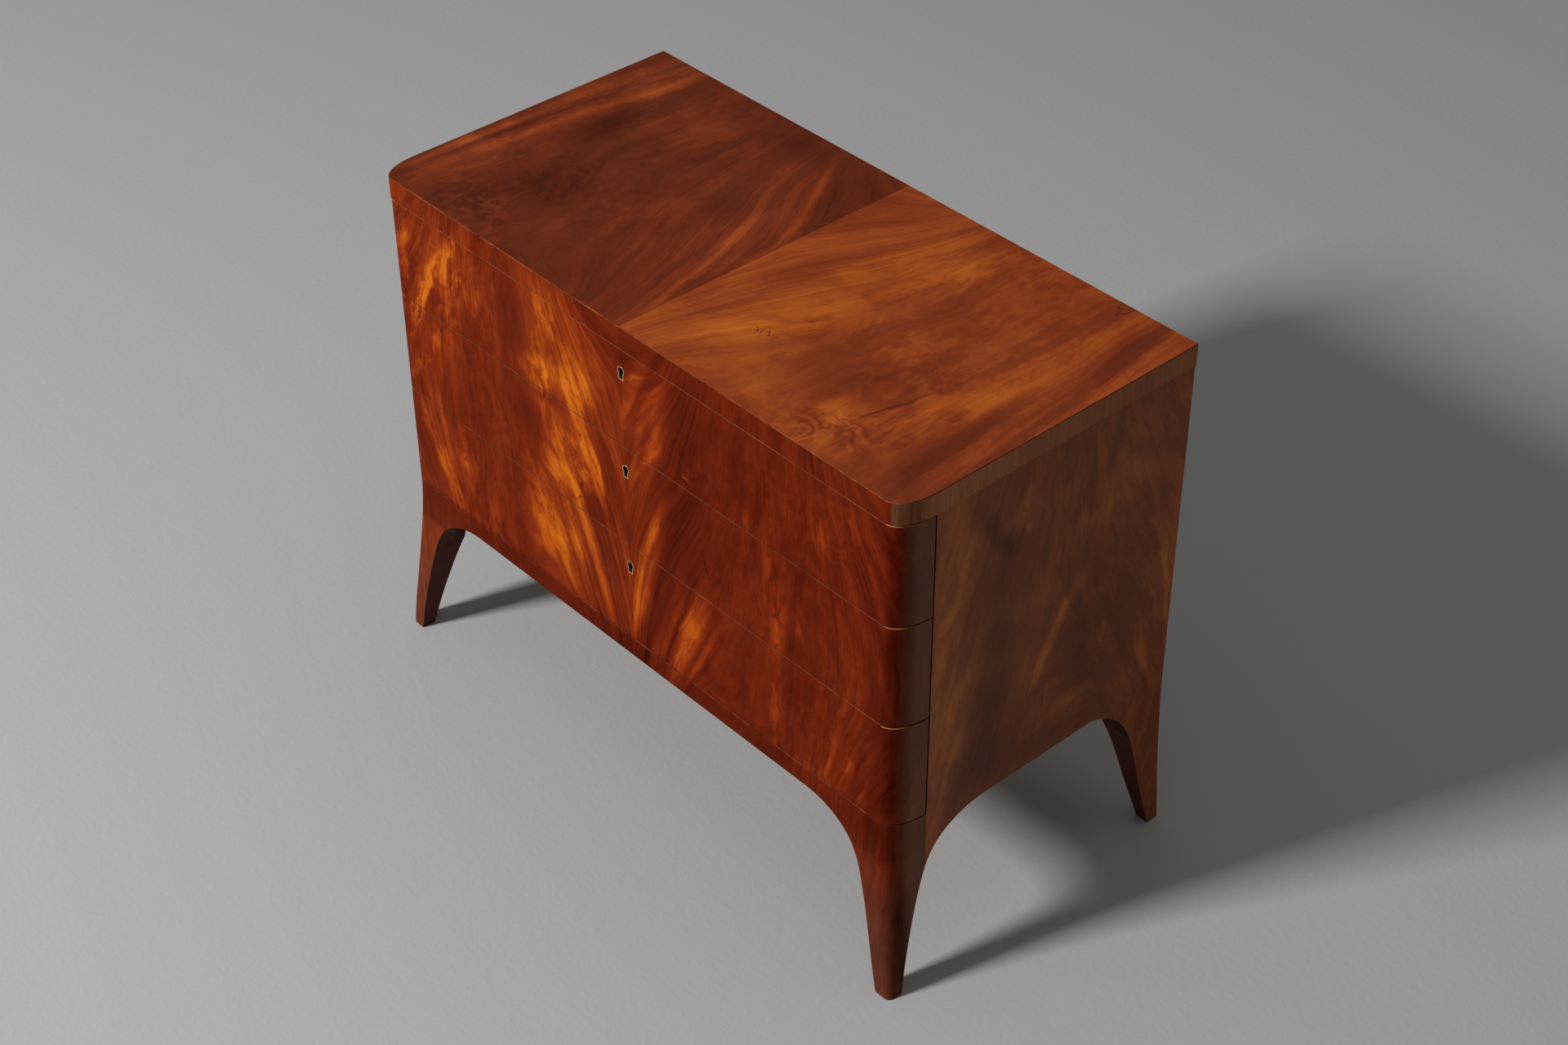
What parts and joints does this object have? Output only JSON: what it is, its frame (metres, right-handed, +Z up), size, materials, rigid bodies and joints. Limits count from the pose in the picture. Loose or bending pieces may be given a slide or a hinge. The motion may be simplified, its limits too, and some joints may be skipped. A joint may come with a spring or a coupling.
{
  "type": "chest of drawers",
  "caption": "Low chest of drawers in flame mahogany veneer with wrapped rounded front corners, sabre legs, dovetailed drawers and drawer locks; it stands on its feet.",
  "frame": {"origin": "on the floor, under the middle of the whole chest's box", "axes": "+Z up; the drawers open towards -Y; +X to the right as seen from the front"},
  "size_m": [1.0492, 0.5172, 0.788],
  "materials": {
    "top_veneer": "book-matched dark mahogany veneer, satin polish",
    "front_veneer": "book-matched flame mahogany veneer, satin polish",
    "side_veneer": "plain mahogany veneer, satin polish",
    "pine": "aged planed pine, unfinished",
    "drawer_pine": "planed pine, unfinished",
    "brass": "worn brass",
    "lock_iron": "old filed iron",
    "steel": "dull steel"
  },
  "bodies": {
    "case": {"top_panel": "top_veneer", "side_panel_left": "side_veneer", "side_panel_right": "side_veneer", "front_leg_left": "front_veneer", "front_leg_right": "front_veneer", "rear_leg_left": "side_veneer", "rear_leg_right": "side_veneer", "runner_upper_left": "pine", "runner_upper_right": "pine", "runner_lower_left": "pine", "runner_lower_right": "pine", "kicker_left": "pine", "kicker_right": "pine", "front_apron": "front_veneer", "rear_apron": "pine", "bottom_board": "pine", "divider_rail_upper": "pine", "divider_rail_lower": "pine", "top_rail_front": "pine", "top_rail_back": "pine", "glue_blocks": "pine", "top_screws": "steel", "back_nails": "steel", "back_board_left": "pine", "back_board_middle": "pine", "back_board_right": "pine"},
    "upper_drawer": {"upper_drawer_front": "front_veneer", "upper_drawer_corner_blocks": "front_veneer", "upper_drawer_side_left": "drawer_pine", "upper_drawer_side_right": "drawer_pine", "upper_drawer_back": "drawer_pine", "upper_drawer_bottom": "drawer_pine", "upper_drawer_escutcheon": "brass", "upper_drawer_lock_case": "lock_iron", "upper_drawer_lock_screws": "steel"},
    "upper_drawer_bolt": {"upper_drawer_lock_bolt": "lock_iron"},
    "middle_drawer": {"middle_drawer_front": "front_veneer", "middle_drawer_corner_blocks": "front_veneer", "middle_drawer_side_left": "drawer_pine", "middle_drawer_side_right": "drawer_pine", "middle_drawer_back": "drawer_pine", "middle_drawer_bottom": "drawer_pine", "middle_drawer_escutcheon": "brass", "middle_drawer_lock_case": "lock_iron", "middle_drawer_lock_screws": "steel"},
    "middle_drawer_bolt": {"middle_drawer_lock_bolt": "lock_iron"},
    "lower_drawer": {"lower_drawer_front": "front_veneer", "lower_drawer_corner_blocks": "front_veneer", "lower_drawer_side_left": "drawer_pine", "lower_drawer_side_right": "drawer_pine", "lower_drawer_back": "drawer_pine", "lower_drawer_bottom": "drawer_pine", "lower_drawer_escutcheon": "brass", "lower_drawer_lock_case": "lock_iron", "lower_drawer_lock_screws": "steel"},
    "lower_drawer_bolt": {"lower_drawer_lock_bolt": "lock_iron"}
  },
  "joints": [
    {"name": "upper_drawer_slide", "type": "slide", "parent": "case", "child": "upper_drawer", "axis": [0, -1, 0], "range_m": [0, 0.36]},
    {"name": "upper_drawer_bolt_slide", "type": "slide", "parent": "upper_drawer", "child": "upper_drawer_bolt", "axis": [0, 0, 1], "range_m": [0, 0.009]},
    {"name": "middle_drawer_slide", "type": "slide", "parent": "case", "child": "middle_drawer", "axis": [0, -1, 0], "range_m": [0, 0.36]},
    {"name": "middle_drawer_bolt_slide", "type": "slide", "parent": "middle_drawer", "child": "middle_drawer_bolt", "axis": [0, 0, 1], "range_m": [0, 0.009]},
    {"name": "lower_drawer_slide", "type": "slide", "parent": "case", "child": "lower_drawer", "axis": [0, -1, 0], "range_m": [0, 0.36]},
    {"name": "lower_drawer_bolt_slide", "type": "slide", "parent": "lower_drawer", "child": "lower_drawer_bolt", "axis": [0, 0, 1], "range_m": [0, 0.009]}
  ]
}
